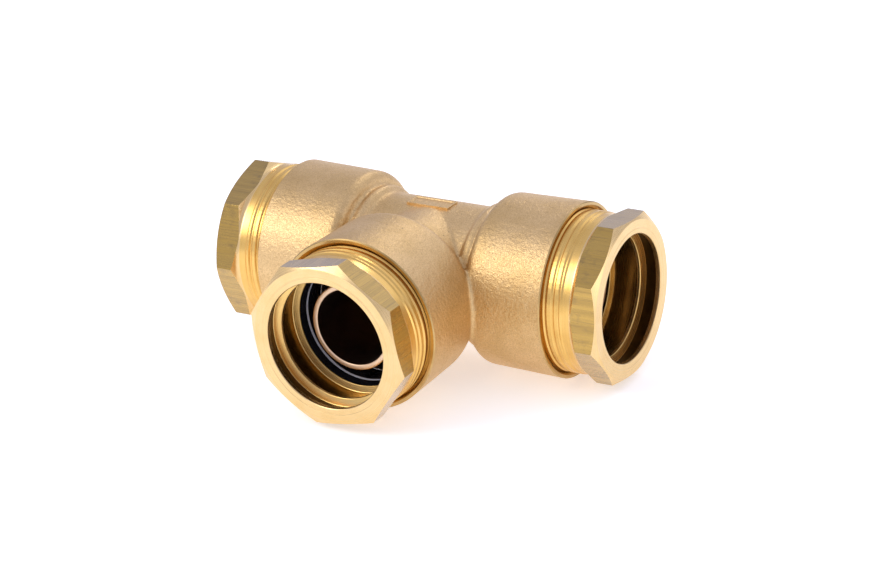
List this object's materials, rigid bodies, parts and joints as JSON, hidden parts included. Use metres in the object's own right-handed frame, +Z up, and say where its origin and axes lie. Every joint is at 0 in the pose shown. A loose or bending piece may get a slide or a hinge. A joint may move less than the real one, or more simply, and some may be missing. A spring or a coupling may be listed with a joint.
{
  "type": "push-fit pipe tee",
  "caption": "Equal tee for plastic water pipe with push-in sockets: cast body, octagonal screwed nuts, liner tubes, split grip rings, washers and O-ring seals.",
  "frame": {"origin": "on the surface the tee rests on, below the middle of its bounding box; the axes of the three sockets meet 23 mm above and 16.75 mm behind (+Y) it", "axes": "+X along the run, towards the right socket; the branch socket opens towards -Y; +Z up"},
  "size_m": [0.113, 0.0794, 0.046],
  "materials": {
    "cast_gunmetal": "sand cast and bead blasted, matt, machined at the mouths",
    "machined_brass": "turned and milled, bright",
    "copper_liner": "drawn copper alloy tube, satin",
    "stainless_washer": "stamped stainless sheet",
    "acetal_grip": "moulded black acetal, semi gloss",
    "rubber_seal": "black EPDM, lightly greased",
    "nylon_spacer": "natural nylon"
  },
  "bodies": {
    "tee": {"tee_body": "cast_gunmetal", "right_liner": "copper_liner", "right_inner_oring": "rubber_seal", "right_spacer_ring": "nylon_spacer", "right_outer_oring": "rubber_seal", "left_liner": "copper_liner", "left_inner_oring": "rubber_seal", "left_spacer_ring": "nylon_spacer", "left_outer_oring": "rubber_seal", "branch_liner": "copper_liner", "branch_inner_oring": "rubber_seal", "branch_spacer_ring": "nylon_spacer", "branch_outer_oring": "rubber_seal"},
    "right_washer": {"right_backing_washer": "stainless_washer"},
    "right_nut": {"right_nut": "machined_brass"},
    "right_grip": {"right_grip_ring": "acetal_grip"},
    "left_washer": {"left_backing_washer": "stainless_washer"},
    "left_nut": {"left_nut": "machined_brass"},
    "left_grip": {"left_grip_ring": "acetal_grip"},
    "branch_washer": {"branch_backing_washer": "stainless_washer"},
    "branch_nut": {"branch_nut": "machined_brass"},
    "branch_grip": {"branch_grip_ring": "acetal_grip"}
  },
  "joints": [
    {"name": "right_nut_travel", "type": "slide", "parent": "tee", "child": "right_washer", "axis": [1, 0, 0], "range_m": [0, 0.0091]},
    {"name": "right_nut_turn", "type": "hinge", "parent": "right_washer", "child": "right_nut", "pos_m": [0.054, 0.01675, 0.023], "axis": [1, 0, 0], "range_deg": [0, 1620]},
    {"name": "right_grip_float", "type": "slide", "parent": "right_washer", "child": "right_grip", "axis": [-1, 0, 0], "range_m": [0, 0.001]},
    {"name": "left_nut_travel", "type": "slide", "parent": "tee", "child": "left_washer", "axis": [-1, 0, 0], "range_m": [0, 0.0091]},
    {"name": "left_nut_turn", "type": "hinge", "parent": "left_washer", "child": "left_nut", "pos_m": [-0.054, 0.01675, 0.023], "axis": [-1, 0, 0], "range_deg": [0, 1620]},
    {"name": "left_grip_float", "type": "slide", "parent": "left_washer", "child": "left_grip", "axis": [1, 0, 0], "range_m": [0, 0.001]},
    {"name": "branch_nut_travel", "type": "slide", "parent": "tee", "child": "branch_washer", "axis": [0, -1, 0], "range_m": [0, 0.0091]},
    {"name": "branch_nut_turn", "type": "hinge", "parent": "branch_washer", "child": "branch_nut", "pos_m": [0, -0.03725, 0.023], "axis": [0, -1, 0], "range_deg": [0, 1620]},
    {"name": "branch_grip_float", "type": "slide", "parent": "branch_washer", "child": "branch_grip", "axis": [0, 1, 0], "range_m": [0, 0.001]}
  ],
  "couplings": [
    {"joint": "right_nut_travel", "follows": "right_nut_turn", "m_per_rad": 0.00031831},
    {"joint": "left_nut_travel", "follows": "left_nut_turn", "m_per_rad": 0.00031831},
    {"joint": "branch_nut_travel", "follows": "branch_nut_turn", "m_per_rad": 0.00031831}
  ]
}
